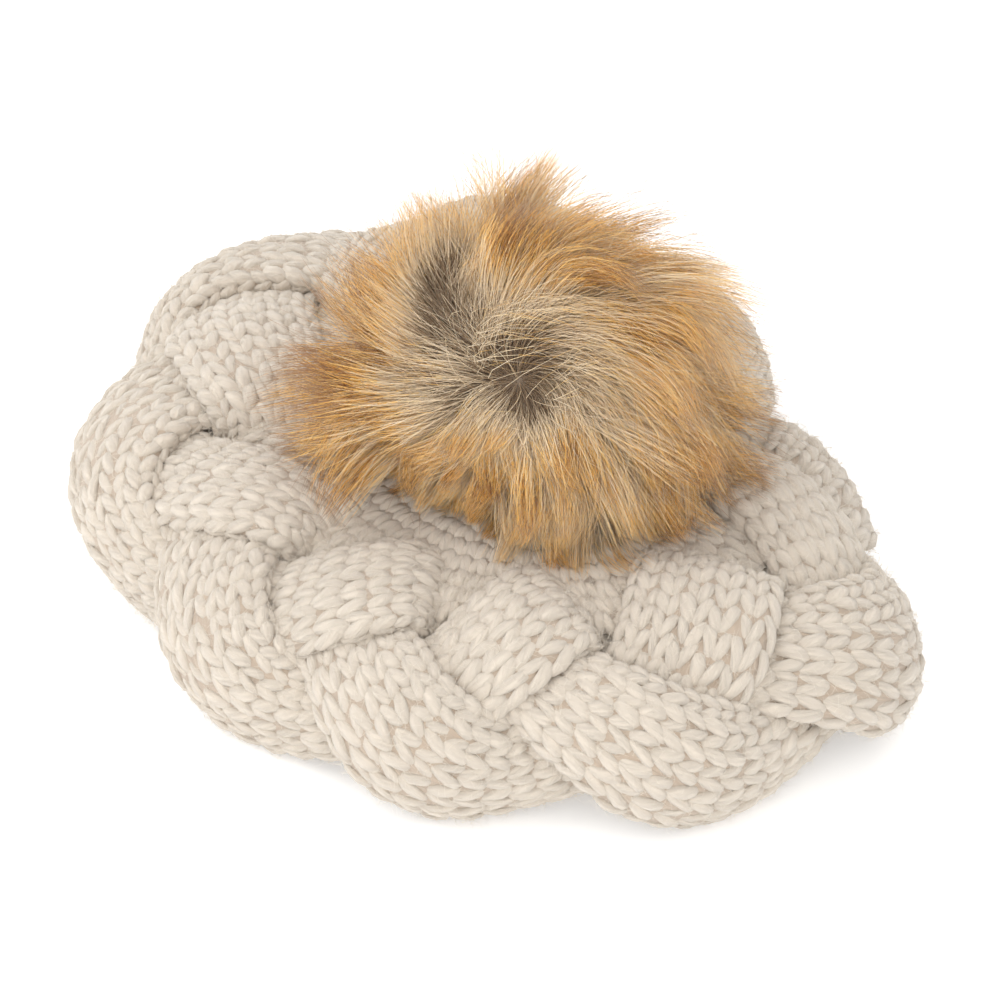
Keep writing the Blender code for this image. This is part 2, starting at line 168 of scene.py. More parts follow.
# How far the fur spreads: angle round the whorl from its right-hand side, distance from the ball's centre
# in mm. Behind the ball, from BACK_FROM along the whorl's axis, it fades to one distance.
FUR_SPREAD = (
    (-180, 68), (-165, 67), (-143, 47), (-117, 39), (-90, 46), (-72, 56), (-50, 60), (-32, 64), (-12, 77),
    (10, 70), (29, 79), (52, 70), (70, 65), (84, 70), (102, 57), (130, 65), (157, 61), (170, 68), (180, 68),
)
BACK_SPREAD = 62.0 * MM
BACK_FROM = -0.15
BACK_FADE = 0.6
ROOT_DEPTH = 0.80 * BALL_RADIUS

# How hair lies: how flat against how far its root faces along the whorl's axis, the swirl's strongest angle
# and turn, droop, waves of the comb, clearance over the knit in mm.
HAIR_LAY = ((-1.0, 0.0), (-0.2, 0.05), (0.3, 0.35), (0.8, 0.85), (1.0, 0.95))
SWIRL_AT = math.radians(58.0)
SWIRL_TURN = 0.55
DROOP = 0.34
COMB_STRENGTH = 0.17
KNIT_CLEARANCE = (0.4, 4.0)
KNIT_SLIDE = 0.4
# Height of the knit under the fur against the distance from the cap's middle, in mm.
KNIT_TOP = ((0.0, 53.0), (30.0, 53.0), (50.0, 50.5), (62.0, 58.0), (95.0, 58.0), (120.0, 44.0))

# Hairs: counts, lengths as shares of the fur's, wildness (how far directions stray), taper from root to tip.
FUR_SEED = 23
FUR_STEPS = 7
FUR_RADIUS = 0.098 * MM
HAIRS_PER_PIECE = 5000
LOWEST_ROOT = -0.80
ROOT_SHAKE = 0.6
LOCKS = 240
LOCK_LENGTHS = (0.70, 1.20)
LOCK_WILDNESS = 0.20
LOCK_PULL = 0.92
LOCK_GRIPS = (0.45, 1.0)
GUARD_HAIRS = 50000
GUARD_LENGTHS = (0.62, 1.12)
GUARD_WILDNESS = 0.13
GUARD_TAPER = np.array([1.0, 1.15, 1.15, 1.0, 0.8, 0.5, 0.14])
UNDER_HAIRS = 9000
UNDER_LENGTHS = (0.7, 1.1)
UNDER_WILDNESS = 0.25
UNDER_TAPER = 1.6 * np.linspace(1.0, 0.3, FUR_STEPS)
UNDER_BANDS = (0.12, 0.50)
STRAY_HAIRS = 1500
STRAY_LENGTHS = (1.0, 1.22)
STRAY_WILDNESS = 0.30
STRAY_TAPER = 0.85 * np.linspace(1.0, 0.4, FUR_STEPS)
THICKNESSES = (0.7, 1.3)

# Fur colours from root to tip: share of the length, linear colour.
FUR_BANDS = (
    (0.00, (0.19, 0.122, 0.076)),
    (0.12, (0.31, 0.205, 0.120)),
    (0.26, (0.63, 0.465, 0.292)),
    (0.46, (0.87, 0.685, 0.450)),
    (0.64, (0.94, 0.715, 0.410)),
    (0.78, (1.00, 0.640, 0.215)),
    (0.89, (0.98, 0.500, 0.095)),
    (0.95, (0.42, 0.180, 0.055)),
    (1.00, (0.12, 0.065, 0.040)),
)
FUR_SHADES = 14
# How the bands vary: from hair to hair, from lock to lock, in stretch, and towards dark tips at the sides.
HAIR_SHIFT = 0.05
LOCK_SHIFT = 0.08
BAND_STRETCH = 0.07
SIDE_TIPS = 0.24
STRAY_TIPS = 0.3
# Places where the bands show from further down or, below nought, from further up: right and up (from the
# ball's middle, facing the whorl), width and height in mm, and share of the bands. The first three are
# partings with dark roots. The next two are painted light: paler fur low on the ball, where it lies in the
# ball's shade.
# The right-hand one makes the fur paler there and the top one more golden; the left one darkens the fur for
# its dark tips and also as painted shade where the key light falls.
FUR_PARTINGS_AND_PAINTED_LIGHT = (
    (-24.0, 27.0, 9.0, 14.0, 0.66),
    (-1.0, 8.0, 9.0, 8.0, 0.10),
    (5.5, -8.5, 7.0, 5.0, 0.30),
    # Painted light: paler fur low on the ball, in the ball's own shade.
    (35.0, -30.0, 15.0, 11.0, 0.16),
    (20.0, -44.0, 30.0, 12.0, 0.14),
    (52.0, 5.0, 14.0, 20.0, 0.12),
    (8.0, 42.0, 26.0, 12.0, -0.07),
    # Darker for the dark tips at the left, and painted shade where the key light falls.
    (-56.0, -4.0, 17.0, 19.0, -0.24),
)

# Fringe: the hairs that meet the cap when the pom tilts.
TILT_SLOPE = math.tan(math.radians(10.5))
FRINGE_SECTORS = 8

# Camera: its elevation, what it looks at, the width that it takes in there, its lens and sensor in mm.
VIEW_ELEVATION = math.radians(42.0)
VIEW_TARGET = np.array([0.0022, 0.0088, 0.0166])
VIEW_WIDTH = 0.302
LENS = 400.0
SENSOR = 36.0
LIGHT_TARGET = np.array([0.0, 0.0, 0.04])
FLOOR_HALF = 3.0


def plan_factor(theta, radius):
    """How far the plan is stretched at this angle; the stretch fades towards the centre."""
    fade = np.clip(radius / CENTRE_ZONE, 0.0, 1.0) ** 2
    stretch = 0.0
    for order, share, angle in PLAN_HARMONICS:
        stretch = stretch + share * np.cos(order * (theta - math.radians(angle)))
    return 1.0 + fade * stretch


def place(theta, radius, height):
    """Point of the cap at an angle, an unstretched radius and a height."""
    reach = radius * plan_factor(theta, radius)
    flat = np.stack(np.broadcast_arrays(reach * np.cos(theta), reach * np.sin(theta), height), axis=-1)
    return flat + CAP_CENTRE


def unit(vectors):
    """The vectors at length one."""
    return vectors / np.maximum(np.linalg.norm(vectors, axis=-1, keepdims=True), 1e-9)


def smooth_curve(knots):
    """Catmull-Rom curve through knots in mm: lengths from its start, points, left-hand normals."""
    points = np.array(knots) * MM
    padded = np.vstack([2 * points[0] - points[1], points, 2 * points[-1] - points[-2]])
    curve = []
    for i in range(len(points) - 1):
        a, b, c, d = padded[i : i + 4]
        for u in np.arange(SPAN_STEPS) / SPAN_STEPS:
            curve.append(
                0.5 * (2 * b + (c - a) * u + (2 * a - 5 * b + 4 * c - d) * u**2
                       + (3 * b - a - 3 * c + d) * u**3)
            )
    curve = np.array([*curve, points[-1]])
    tangent = unit(np.gradient(curve, axis=0))
    return path_length(curve), curve, np.stack([-tangent[:, 1], tangent[:, 0]], axis=1)


def path_length(points):
    """Length along a path up to each of its points."""
    steps = np.linalg.norm(np.diff(points, axis=0), axis=1)
    return np.concatenate([[0.0], np.cumsum(steps)])


def on_curve(curve, at, lift):
    """Point (first, second coordinate) of a smooth curve at a length, moved out along its normal."""
    length, points, normal = curve
    first, second, out, up = (
        np.interp(at, length, column) for column in (points[:, 0], points[:, 1], normal[:, 0], normal[:, 1])
    )
    return first + lift * out, second + lift * up


PLAIT_CURVE = smooth_curve(PLAIT_PROFILE)
PLAIT_ORIGIN = PLAIT_CURVE[0][PLAIT_MIDDLE * SPAN_STEPS]


def plait_place(theta, along, lift):
    """Point of the plait: `along` runs up the profile from the plait's middle, `lift` is outwards."""
    radial, height = on_curve(PLAIT_CURVE, PLAIT_ORIGIN - along, lift)
    return place(theta, RIM_RADIUS + radial, height)


def strand_turn(index, theta):
    """How far a strand has come in its weave, as an angle, at an angle round the cap."""
    return math.pi - PLAIT_REPEATS * (theta - math.radians(PLAIT_PHASE_AT)) + index * TAU / STRANDS


def strand_path(turn):
    """Where a strand's middle runs: along the plait's profile, and its height over it."""
    along = STITCHED_REACH * np.sin(turn) + CROWN_OVERRUN * np.clip(np.sin(turn), 0.0, 1.0) ** 2
    return along, -PLAIT_LIFT * np.sin(2 * turn)


def half_ellipse_table(width, depth):
    """Angle from the top of an ellipse against the length along it."""
    angle = np.linspace(0.0, math.pi, 400)
    outline = np.stack([width * np.sin(angle), depth * np.cos(angle)], axis=1)
    return path_length(outline), angle


def strand_surface(index):
    """(surface, rows) of one plait strand: surface(column, row, lift) gives points."""
    fine = np.linspace(0.0, TAU, 2401)
    length = path_length(plait_place(fine, *strand_path(strand_turn(index, fine))))
    rows = int(round(length[-1] / ROW_HEIGHT))
    from_top, top_angle = half_ellipse_table(STRAND_HALF_WIDTH, STRAND_HALF_DEPTH + STRAND_CROWNING)

    def surface(column, row, lift):
        lap = np.floor(row / rows)
        theta = np.interp((row / rows - lap) * length[-1], length, fine) + lap * TAU
        turn = strand_turn(index, theta)
        along, height = strand_path(turn)
        radius = RIM_RADIUS + on_curve(PLAIT_CURVE, PLAIT_ORIGIN - along, 0.0)[0]
        slope = -PLAIT_REPEATS * STITCHED_REACH * np.cos(turn) / radius
        run = 1.0 / np.sqrt(1.0 + slope**2)
        over = np.clip(height / PLAIT_LIFT, 0.0, 1.0)
        half_depth = STRAND_HALF_DEPTH + STRAND_CROWNING * over
        half_width = STRAND_HALF_WIDTH * (1.0 + STRAND_WIDENING * over)
        angle = np.sign(column) * np.interp(np.abs(column) * STRAND_COLUMN * MM, from_top, top_angle)
        sine, cosine = np.sin(angle), np.cos(angle)
        norm = np.hypot(half_depth * sine, half_width * cosine)
        across = half_width * sine + lift * half_depth * sine / norm
        depth = half_depth * cosine + lift * half_width * cosine / norm
        at_theta = theta - across * slope * run / radius
        return plait_place(at_theta, along + across * run, height + depth)

    return surface, rows


def ring_surface(curve, columns, base):
    """surface(column, row, lift) of a panel: columns run along a profile, rows go round the cap."""

    def surface(column, row, lift):
        radial, height = on_curve(curve, row * ROW_HEIGHT, lift)
        return place(TAU * column / columns, base + radial, height)

    return surface


def stitch_legs(columns, rows, rng):
    """Centre lines of the legs of every V: column, row, rise and thickness, each (legs, points)."""
    column, row, hand = (a.ravel() for a in np.meshgrid(columns, rows, (-1.0, 1.0), indexing="ij"))
    count = len(column)
    jitter = rng.normal(0.0, 1.0, (5, count, 1))
    width = 0.5 * (1.0 + LEG_JITTER["spread"] * jitter[0])
    at_column = column[:, None] + hand[:, None] * LEG_SHAPE[:, 1] * width + LEG_JITTER["across"] * jitter[1]
    along = LEG_SHAPE[:, 0] * (1.0 + LEG_JITTER["length"] * jitter[2])
    at_row = row[:, None] + along + LEG_JITTER["along"] * jitter[3]
    rise = np.broadcast_to(LEG_SHAPE[:, 2], at_row.shape) + LEG_JITTER["rise"] * jitter[4]
    thick = LEG_SHAPE[:, 3] * (1.0 + LEG_JITTER["thickness"] * rng.normal(0.0, 1.0, (count, 1)))
    return at_column, at_row, rise, thick


def side_angles(sides):
    """Angles of a tube's sides, the first one underneath."""
    return -0.5 * math.pi + TAU * np.arange(sides) / sides


def sweep(paths, radii, normals, sides=3, flatness=1.0):
    """Tubes along paths (tubes, points, 3): vertices and quads, the seam of each tube underneath, and at
    each quad's corners how far round and along its tube it is, and the tube's number."""
    tubes, points = paths.shape[:2]
    tangent = unit(np.gradient(paths, axis=1))
    side = unit(np.cross(normals, tangent))
    up = np.cross(tangent, side)
    angle = side_angles(sides)
    sideways = side[:, :, None, :] * np.cos(angle)[:, None]
    offset = sideways + up[:, :, None, :] * (flatness * np.sin(angle))[:, None]
    vertices = (paths[:, :, None, :] + radii[:, :, None, None] * offset).reshape(-1, 3)
    tube, k, j = np.meshgrid(np.arange(tubes), np.arange(points - 1), np.arange(sides), indexing="ij")
    start = tube * points * sides
    ring, following = start + k * sides, start + (k + 1) * sides
    after = (j + 1) % sides
    quads = np.stack([ring + j, ring + after, following + after, following + j], axis=-1).reshape(-1, 4)
    corner_side = np.stack([j, j + 1, j + 1, j], axis=-1).reshape(-1, 4) / sides
    corner_point = np.stack([k, k, k + 1, k + 1], axis=-1).reshape(-1, 4) / (points - 1)
    corner_tube = np.broadcast_to(tube.reshape(-1, 1), corner_side.shape)
    return vertices, quads, corner_side, corner_point, corner_tube


def add_piece(name, vertices, quads, materials, shade=None):
    """A new mesh object from arrays, smooth shaded; `shade` is each quad's material number."""
    mesh = bpy.data.meshes.new(name)
    count = len(quads)
    mesh.vertices.add(len(vertices))
    mesh.vertices.foreach_set("co", vertices.astype(np.float32).ravel())
    mesh.loops.add(4 * count)
    mesh.loops.foreach_set("vertex_index", quads.astype(np.int32).ravel())
    mesh.polygons.add(count)
    mesh.polygons.foreach_set("loop_start", np.arange(0, 4 * count, 4, dtype=np.int32))
    mesh.polygons.foreach_set("loop_total", np.full(count, 4, dtype=np.int32))
    mesh.polygons.foreach_set("use_smooth", np.ones(count, dtype=bool))
    for material in materials:
        mesh.materials.append(material)
    if shade is not None:
        mesh.polygons.foreach_set("material_index", shade.astype(np.int32))
    mesh.update(calc_edges=True)
    obj = bpy.data.objects.new(name, mesh)
    bpy.context.scene.collection.objects.link(obj)
    return obj


def above_floor(vertices):
    """The vertices, none below the floor."""
    return np.concatenate([vertices[:, :2], np.maximum(vertices[:, 2:], 0.0)], axis=1)


def ground_grid(surface, columns, rows, lift):
    """Vertices and quads of the fabric under the stitches, and its map at the quads' corners."""
    beside, below, above = GROUND_MARGINS
    column = np.linspace(columns[0] - beside, columns[-1] + beside, 2 * len(columns) + 3)
    row = np.linspace(rows[0] - below, rows[-1] + above, 2 * len(rows) + 1)
    points = surface(*np.meshgrid(column, row), lift)
    i, j = np.meshgrid(np.arange(len(row) - 1), np.arange(len(column) - 1), indexing="ij")
    first = (i * len(column) + j).ravel()
    quads = np.stack([first, first + len(column), first + len(column) + 1, first + 1], axis=-1)
    u = np.stack([j, j, j + 1, j + 1], axis=-1).reshape(-1, 4) / (len(column) - 1)
    v = np.stack([i, i + 1, i + 1, i], axis=-1).reshape(-1, 4) / (len(row) - 1)
    return points.reshape(-1, 3), quads, u, v


def add_map(obj, name, first, second):
    """A UV map from the yarns' and the ground's values at the quads' corners."""
    layer = obj.data.uv_layers.new(name=name)
    values = np.stack([np.concatenate(first), np.concatenate(second)], axis=-1)
    layer.data.foreach_set("uv", values.astype(np.float32).ravel())


def add_levels(obj, rise, ground_points):
    """How high each point stands in the fabric, which sets the wool's painted shade: points down between the
    stitches and on the legs' undersides are painted darker.
    """
    top = np.tile(np.sin(side_angles(LEG_SIDES)), rise.size) * YARN_FLATNESS
    level = np.concatenate([np.repeat(rise.ravel(), LEG_SIDES) + top, np.full(ground_points, GROUND_LEVEL)])
    attribute = obj.data.attributes.new("rise", "FLOAT", "POINT")
    attribute.data.foreach_set("value", level.astype(np.float32))


def lay_stitches(name, surface, columns, rows, yarn, material, rng, floor=-math.inf):
    """The legs of all V stitches of a fabric over its ground as one piece, with maps along the yarn and
    for baking. The yarns' centre lines stay above `floor`."""
    column, row, rise, thick = stitch_legs(columns, rows, rng)
    paths = surface(column, row, rise * yarn)
    normals = unit(surface(column, row, rise * yarn + NORMAL_STEP) - paths)
    paths[..., 2] = np.maximum(paths[..., 2], floor)
    vertices, quads, around, along, leg = sweep(paths, thick * yarn, normals, LEG_SIDES, YARN_FLATNESS)
    vertices = vertices + rng.normal(0.0, YARN_UNEVENNESS * yarn, vertices.shape)
    under, under_quads, u, v = ground_grid(surface, columns, rows, GROUND_LIFT * yarn)
    obj = add_piece(
        name, above_floor(np.concatenate([vertices, under])),
        np.concatenate([quads, under_quads + len(vertices)]), [material],
    )
    start = rng.uniform(0.0, 1.0, len(paths))[leg]
    add_map(
        obj, "yarn",
        (around + FIBRE_WINDING * along + start, GROUND_REPEATS[0] * u),
        (along + YARN_SPACING * start, GROUND_REPEATS[1] * v),
    )
    cells = math.ceil(math.sqrt(len(paths)))
    clear = 1.0 - 2.0 * BAKE_INSET
    across = (leg % cells + BAKE_INSET + clear * around) / cells
    up = (leg // cells + BAKE_INSET + clear * along) / cells
    add_map(obj, "OFBake", (BAKE_WIDTH * across, BAKE_WIDTH + (1.0 - BAKE_WIDTH) * u), (up, v))
    add_levels(obj, rise, len(under))
    return obj


def new_material(name):
    """A material with a Principled shader: the material, its node tree and the shader."""
    material = bpy.data.materials.new(name)
    material.use_nodes = True
    tree = material.node_tree
    return material, tree, tree.nodes["Principled BSDF"]


def set_inputs(shader, values):
    """Constant values on the shader's own sockets, by name."""
    for name, value in values.items():
        shader.inputs[name].default_value = value


def node(tree, kind, inputs=None, **settings):
    """A new node with the settings and input values given; an input given as a socket is linked."""
    made = tree.nodes.new(kind)
    for key, value in settings.items():
        setattr(made, key, value)
    for key, value in (inputs or {}).items():
        if isinstance(value, bpy.types.NodeSocket):
            tree.links.new(value, made.inputs[key])
        else:
            made.inputs[key].default_value = value
    return made


def set_colour(tree, shader, factor, stops):
    """Base colour from a ramp on a factor, with stops of (position, colour)."""
    made = node(tree, "ShaderNodeValToRGB", {"Fac": factor})
    elements = made.color_ramp.elements
    while len(elements) < len(stops):
        elements.new(0.5)
    for element, (position, colour) in zip(elements, stops):
        element.position = position
        element.color = (*colour, 1.0)
    tree.links.new(made.outputs["Color"], shader.inputs["Base Color"])


def set_bump(tree, shader, height, strength, distance):
    """Bump on the shader from a height."""
    made = node(tree, "ShaderNodeBump", {"Height": height, "Strength": strength, "Distance": distance})
    tree.links.new(made.outputs["Normal"], shader.inputs["Normal"])


def scaled(tree, vector, factors):
    """A vector with each coordinate times its factor."""
    return node(tree, "ShaderNodeVectorMath", {0: vector, 1: factors}, operation="MULTIPLY").outputs[0]


def object_point(tree):
    """The shaded point in object space."""
    return node(tree, "ShaderNodeTexCoord").outputs["Object"]


def wool_material(name, top, painted_shade_colour):
    """Soft spun wool: fibres lying round the yarn, with painted shade, darker and warmer, down between the
    stitches and on the legs' undersides.
    """
    material, tree, shader = new_material(name)
    yarn = node(tree, "ShaderNodeUVMap", uv_map="yarn").outputs["UV"]
    fibres = node(
        tree, "ShaderNodeTexNoise",
        {"Vector": scaled(tree, yarn, (6.0, 1.3, 1.0)), "Scale": 1.6, "Detail": 6.0, "Roughness": 0.72,
         "Distortion": 0.9},
    ).outputs["Fac"]
    # Painted shade: the lower a point stands in the fabric, the darker and warmer its colour.
    rise = node(tree, "ShaderNodeAttribute", attribute_name="rise").outputs["Fac"]
    level = node(
        tree, "ShaderNodeMapRange",
        {"Value": rise, "From Min": -1.0, "From Max": 0.9, "To Min": 0.0, "To Max": 1.0},
    ).outputs["Result"]
    varied = node(
        tree, "ShaderNodeMath", {0: fibres, 1: 0.55, 2: level}, operation="MULTIPLY_ADD"
    ).outputs[0]
    lowered = node(tree, "ShaderNodeMath", {0: varied, 1: 0.27}, operation="SUBTRACT").outputs[0]
    middle = tuple(0.5 * (a + b) for a, b in zip(top, painted_shade_colour))
    set_colour(tree, shader, lowered, ((0.0, painted_shade_colour), (0.28, middle), (0.62, top), (1.0, top)))
    set_bump(tree, shader, fibres, 0.9, 0.0012)
    set_inputs(
        shader,
        {"Roughness": 0.92, "Specular IOR Level": 0.18, "Sheen Weight": 0.45, "Sheen Roughness": 0.6},
    )
    return material


def ground_material(name, colour, scale=420.0):
    """Wool fabric seen down between the stitches or from inside: matt, mottled at stitch size."""
    material, tree, shader = new_material(name)
    point = object_point(tree)
    mottle = node(tree, "ShaderNodeTexNoise", {"Vector": point, "Scale": scale, "Detail": 3.0})
    dark = tuple(0.62 * c for c in colour)
    set_colour(tree, shader, mottle.outputs["Fac"], ((0.3, dark), (0.7, colour)))
    loops = node(tree, "ShaderNodeTexVoronoi", {"Vector": point, "Scale": 0.55 * scale})
    set_bump(tree, shader, loops.outputs["Distance"], 0.6, 0.0012)
    set_inputs(shader, {"Roughness": 0.95, "Sheen Weight": 0.2})
    return material


def banded_material(name, light, dark, scale, roughness, bump, stretch=(1.0, 1.0, 1.0), gloss=0.3):
    """A mottled or grained material in object space, from noise drawn out by `stretch`."""
    material, tree, shader = new_material(name)
    grain = node(
        tree, "ShaderNodeTexNoise",
        {"Vector": scaled(tree, object_point(tree), stretch), "Scale": scale, "Detail": 6.0,
         "Roughness": 0.6, "Distortion": 0.8},
    ).outputs["Fac"]
    set_colour(tree, shader, grain, ((0.32, dark), (0.68, light)))
    set_bump(tree, shader, grain, bump, 0.0004)
    set_inputs(shader, {"Roughness": roughness, "Specular IOR Level": gloss})
    return material


def braid_material(name, light, dark, scale):
    """A woven or twisted cord: crossing diagonal bands in object space."""
    material, tree, shader = new_material(name)
    point = object_point(tree)
    bands = [
        node(
            tree, "ShaderNodeTexWave",
            {"Vector": scaled(tree, point, (slope, slope, 1.0)), "Scale": scale, "Distortion": 0.4},
            wave_type="BANDS", bands_direction="DIAGONAL",
        ).outputs["Fac"]
        for slope in (1.0, -1.0)
    ]
    woven = node(tree, "ShaderNodeMath", {0: bands[0], 1: bands[1]}, operation="MAXIMUM").outputs[0]
    set_colour(tree, shader, woven, ((0.2, dark), (0.8, light)))
    set_bump(tree, shader, woven, 0.8, 0.0005)
    set_inputs(shader, {"Roughness": 0.8, "Sheen Weight": 0.2})
    return material


def set_material(obj, material):
    """One material on every slot of a CAD node's object."""
    if not obj.material_slots:
        obj.data.materials.append(material)
    for held in obj.material_slots:
        held.link = "OBJECT"
        held.material = material


def dress_inner_parts(nodes):
    """Materials of the CAD nodes that stay: the fabric under the stitches and the parts inside."""
    ground = ground_material("wool_ground", (0.74, 0.64, 0.53))
    yarn = braid_material("wool_yarn", (0.78, 0.68, 0.56), (0.50, 0.40, 0.30), 260.0)
    materials = {
        "crown_panel": ground,
        "plait_strand_1": ground,
        "plait_strand_2": ground,
        "plait_strand_3": ground,
        "side_wall_fabric": ground,
        "ribbed_brim": ground,
        "crown_gather_yarn": yarn,
        "back_seam_yarn": yarn,
        "pom_backing": ground_material("fur_backing", (0.40, 0.31, 0.23), 700.0),
        "pom_wadding_core": banded_material(
            "polyester_wadding", (0.88, 0.87, 0.84), (0.66, 0.65, 0.62), 260.0, roughness=0.95, bump=1.0
        ),
        "pom_draw_thread": braid_material("cotton_thread", (0.55, 0.45, 0.34), (0.30, 0.23, 0.17), 700.0),
        "elastic_loop": braid_material("braided_elastic", (0.82, 0.80, 0.76), (0.48, 0.46, 0.43), 420.0),
        "pom_toggle_bar": banded_material(
            "moulded_plastic", (0.80, 0.76, 0.68), (0.74, 0.70, 0.62), 90.0, roughness=0.38, bump=0.12,
            gloss=0.5,
        ),
        "inner_button": banded_material(
            "turned_wood", (0.56, 0.34, 0.17), (0.30, 0.155, 0.07), 60.0, roughness=0.42, bump=0.25,
            stretch=(1.0, 9.0, 9.0), gloss=0.45,
        ),
    }
    for name, material in materials.items():
        set_material(nodes[name], material)


def add_fuzz(name, knit, material, rng):
    """Loose wool fibres that stand off the yarns of a knitted piece."""
    mesh = knit.data
    count = len(mesh.vertices)
    points, normals, rise = (np.empty(size * count, dtype=np.float32) for size in (3, 3, 1))
    mesh.vertices.foreach_get("co", points)
    mesh.vertices.foreach_get("normal", normals)
    mesh.attributes["rise"].data.foreach_get("value", rise)
    high = np.flatnonzero(rise > FUZZ_LEVEL)
    chosen = rng.choice(high, min(FUZZ_HAIRS, len(high)), replace=False)
    root = points.reshape(-1, 3)[chosen].astype(float)
    normal = normals.reshape(-1, 3)[chosen].astype(float)
    along = unit(np.cross(normal, rng.normal(0.0, 1.0, normal.shape)))
    length = rng.uniform(*FUZZ_LENGTHS, (len(root), 1)) * MM
    lean = rng.uniform(*FUZZ_LEANS, (len(root), 1))
    middle = root + 0.5 * length * unit(lean * normal + along)
    bend = 0.8 * unit(np.cross(along, normal)) * rng.normal(0.0, 1.0, lean.shape)
    end = middle + 0.5 * length * unit(0.3 * lean * normal + along + bend)
    path = np.stack([root - FUZZ_SUNK * normal, middle, end], axis=1)
    thick = FUZZ_RADIUS * FUZZ_TAPER * np.ones((len(root), 1))
    vertices, quads, _, _, _ = sweep(path, thick, np.repeat(normal[:, None, :], 3, axis=1))
    return add_piece(name, above_floor(vertices), quads, [material])


def fuzz_material():
    """Single wool fibres."""
    material, _, shader = new_material("wool_fuzz")
    set_inputs(shader, {"Base Color": (0.84, 0.77, 0.67, 1.0), "Roughness": 0.8, "Specular IOR Level": 0.2})
    return material


def make_knit(rng):
    """Stitches of the plait and the crown, and loose fibres on the strands and the crown's outer band."""
    # Painted shade: the second colour darkens the wool down between the stitches and under the legs.
    wool = wool_material("cream_wool", (0.712, 0.627, 0.523), (0.53, 0.40, 0.287))
    strand_columns = np.arange(STRAND_COLUMNS) - 0.5 * (STRAND_COLUMNS - 1)
    pieces = []
    for index in range(STRANDS):
        surface, rows = strand_surface(index)
        name = f"plait_stitches_{index + 1}"
        pieces.append(lay_stitches(name, surface, strand_columns, np.arange(rows), STRAND_YARN, wool, rng))
    length, points, normal = smooth_curve(CROWN_STITCHED)
    for number, (columns, first, last) in enumerate(CROWN_BANDS):
        surface = ring_surface((length, points, -normal), columns, 0.0)
        name = f"crown_stitches_{number + 1}"
        rows = np.arange(first, last)
        pieces.append(lay_stitches(name, surface, np.arange(columns), rows, PANEL_YARN, wool, rng))
    fuzz = fuzz_material()
    for number, piece in enumerate(pieces[: STRANDS + 1]):
        pieces.append(add_fuzz(f"fuzz_{number + 1}", piece, fuzz, rng))
    return pieces


def make_panels(rng):
    """Stitches of the side wall and the brim."""
    # Painted shade: the second colour darkens the wool down between the stitches and under the legs.
    wool = wool_material("rib_wool", (0.74, 0.655, 0.55), (0.60, 0.48, 0.37))
    made = []
    for name, outline, columns, yarn, floor in (
        ("wall_stitches", WALL_OUTSIDE, WALL_COLUMNS, PANEL_YARN, -math.inf),
        ("brim_stitches", BRIM_OUTLINE, BRIM_COLUMNS, BRIM_YARN, BRIM_FLOOR),
    ):
        curve = smooth_curve(outline)
        surface = ring_surface(curve, columns, RIM_RADIUS)
        rows = np.arange(int(curve[0][-1] / ROW_HEIGHT)) + PANEL_FIRST_ROW
        made.append(lay_stitches(name, surface, np.arange(columns), rows, yarn, wool, rng, floor))
    return made


def fur_shade(share):
    """Linear colour of the fur at a share of its length."""
    at = [band[0] for band in FUR_BANDS]
    return tuple(float(np.interp(share, at, [band[1][c] for band in FUR_BANDS])) for c in range(3))


def fur_materials():
    """One material per shade, from root to tip."""
    made = []
    for number in range(FUR_SHADES):
        material, _, shader = new_material(f"fur_{number:02d}")
        set_inputs(
            shader,
            {
                "Base Color": (*fur_shade((number + 0.5) / FUR_SHADES), 1.0),
                "Roughness": 0.62,
                "Specular IOR Level": 0.15,
                "Subsurface Weight": 0.3,
                "Subsurface Radius": (1.0, 0.7, 0.4),
                "Subsurface Scale": 0.002,
            },
        )
        made.append(material)
    return made


def scattered_roots(count, rng, lowest):
    """Even directions on a ball, shaken, down to a lowest height share."""
    spare = int(count * 2.0 / (1.0 - lowest)) + 1
    index = np.arange(spare) + 0.5
    z = 1.0 - 2.0 * index / spare
    theta = index * math.pi * (1.0 + math.sqrt(5.0))
    ring = np.sqrt(1.0 - z**2)
    even = np.stack([ring * np.cos(theta), ring * np.sin(theta), z], axis=1)
    shaken = unit(even + rng.normal(0.0, ROOT_SHAKE / math.sqrt(count), even.shape))
    return shaken[shaken[:, 2] > lowest][:count]


def rest_height(points):
    """Height of the knit under the fur, at points over the cap."""
    away = np.linalg.norm((points - CAP_CENTRE)[..., :2], axis=-1) / MM
    return np.interp(away, *np.transpose(KNIT_TOP)) * MM


def whorl_angle(roots):
    """Angle of roots round the whorl, from its right-hand side."""
    return np.arctan2(roots @ WHORL_UP, roots @ WHORL_RIGHT)


def swirl_of(angle):
    """How strongly hair is combed clockwise at an angle round the whorl."""
    return ((1.0 + np.cos(angle - SWIRL_AT)) / 2.0) ** 1.5


def fur_length(roots):
    """Length of the hair that reaches the edge of the fur at its end."""
    angle = whorl_angle(roots)
    ends = (angle - SWIRL_TURN * swirl_of(angle) + math.pi) % TAU - math.pi
    spread = np.interp(np.degrees(ends), *np.transpose(FUR_SPREAD)) * MM
    behind = np.clip((BACK_FROM - roots @ WHORL_AXIS) / BACK_FADE, 0.0, 1.0)
    return spread + (BACK_SPREAD - spread) * behind - ROOT_DEPTH


def comb_marks(roots):
    """Slow waves in the way the fur lies, so that it isn't combed evenly."""
    waves = [
        np.cos(9.0 * roots[:, 0] + 4.0 * roots[:, 2] + 0.7),
        np.cos(8.0 * roots[:, 1] - 5.0 * roots[:, 0] + 2.1),
        np.cos(10.0 * roots[:, 2] + 3.0 * roots[:, 1] + 4.0),
    ]
    strength = COMB_STRENGTH * np.clip(0.2 + 1.2 * (roots @ WHORL_AXIS), 0.0, 1.0)
    return strength[:, None] * np.stack(waves, axis=1)


